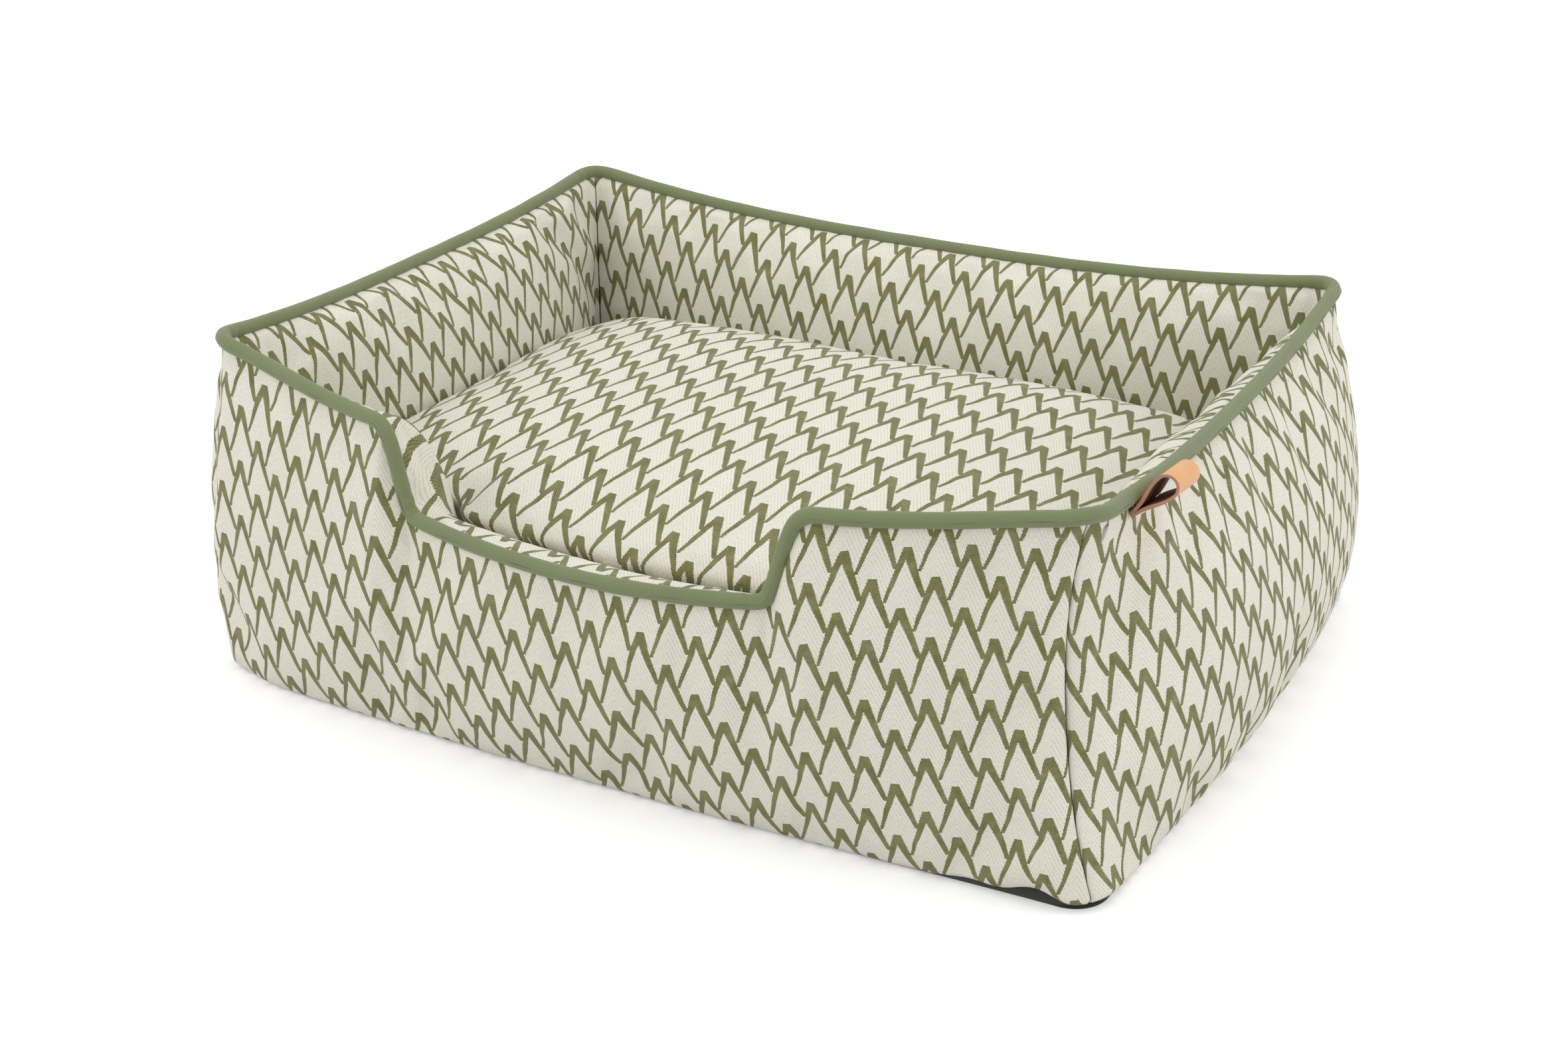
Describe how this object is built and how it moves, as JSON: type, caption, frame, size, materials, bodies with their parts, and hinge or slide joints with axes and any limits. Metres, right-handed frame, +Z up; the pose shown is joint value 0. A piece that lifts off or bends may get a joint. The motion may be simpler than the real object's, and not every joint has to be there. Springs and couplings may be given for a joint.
{
  "type": "dog bed",
  "caption": "Rectangular pet bed with a stuffed bolster wall all round, a piped ridge, a low front entry, a leather loop and a lift-out domed cushion with a zipped cover.",
  "frame": {"origin": "on the underside of the bottom panel, under the middle of the bed's outline", "axes": "+X to the right along the long side, +Y to the back wall, +Z up; the low entry is at -Y"},
  "size_m": [0.7898, 0.6166, 0.2896],
  "materials": {
    "wall_cloth": "woven jacquard, cream with an olive-green pointed-scale lattice, matt",
    "piping_strip": "sage-green plain bias strip, faint sheen",
    "base_cloth": "charcoal non-slip base cloth, matt",
    "lining_cloth": "plain off-white lining cloth",
    "fibre_fill": "loose white polyester fibre",
    "cotton_cord": "twisted cotton piping cord",
    "tan_leather": "vegetable-tanned leather, natural grain, raw edges",
    "zip_tape": "woven herringbone zip tape",
    "zip_nylon": "nylon coil",
    "zip_metal": "nickel-plated zinc, satin"
  },
  "bodies": {
    "shell": {"outer_front_panel": "wall_cloth", "inner_front_panel": "wall_cloth", "front_bolster_fill": "fibre_fill", "outer_right_panel": "wall_cloth", "inner_right_panel": "wall_cloth", "right_bolster_fill": "fibre_fill", "outer_back_panel": "wall_cloth", "inner_back_panel": "wall_cloth", "back_bolster_fill": "fibre_fill", "outer_left_panel": "wall_cloth", "inner_left_panel": "wall_cloth", "left_bolster_fill": "fibre_fill", "piping_cover": "piping_strip", "piping_cord": "cotton_cord", "base_panel": "base_cloth", "floor_panel": "lining_cloth", "shell_zip_upper_tape": "zip_tape", "shell_zip_lower_tape": "zip_tape", "shell_zip_coil": "zip_nylon", "leather_loop": "tan_leather"},
    "cushion": {"cushion_cover_top": "wall_cloth", "cushion_cover_bottom": "wall_cloth", "cushion_insert": "fibre_fill", "cushion_zip_upper_tape": "zip_tape", "cushion_zip_lower_tape": "zip_tape", "cushion_zip_coil": "zip_nylon"},
    "shell_zip_runner": {"shell_zip_slider": "zip_metal"},
    "shell_zip_tab": {"shell_zip_pull": "zip_metal"},
    "cushion_zip_runner": {"cushion_zip_slider": "zip_metal"}
  },
  "joints": [
    {"name": "cushion_lift", "type": "slide", "parent": "shell", "child": "cushion", "axis": [0, 0, 1], "range_m": [0, 0.3]},
    {"name": "shell_zip_slide", "type": "slide", "parent": "shell", "child": "shell_zip_runner", "axis": [-1, 0, 0], "range_m": [0, 0.434]},
    {"name": "shell_zip_pull_hinge", "type": "hinge", "parent": "shell_zip_runner", "child": "shell_zip_tab", "pos_m": [0.217, 0.30654, 0.034], "axis": [1, 0, 0], "range_deg": [0, 150]},
    {"name": "cushion_zip_slide", "type": "slide", "parent": "cushion", "child": "cushion_zip_runner", "axis": [-1, 0, 0], "range_m": [0, 0.334]}
  ]
}
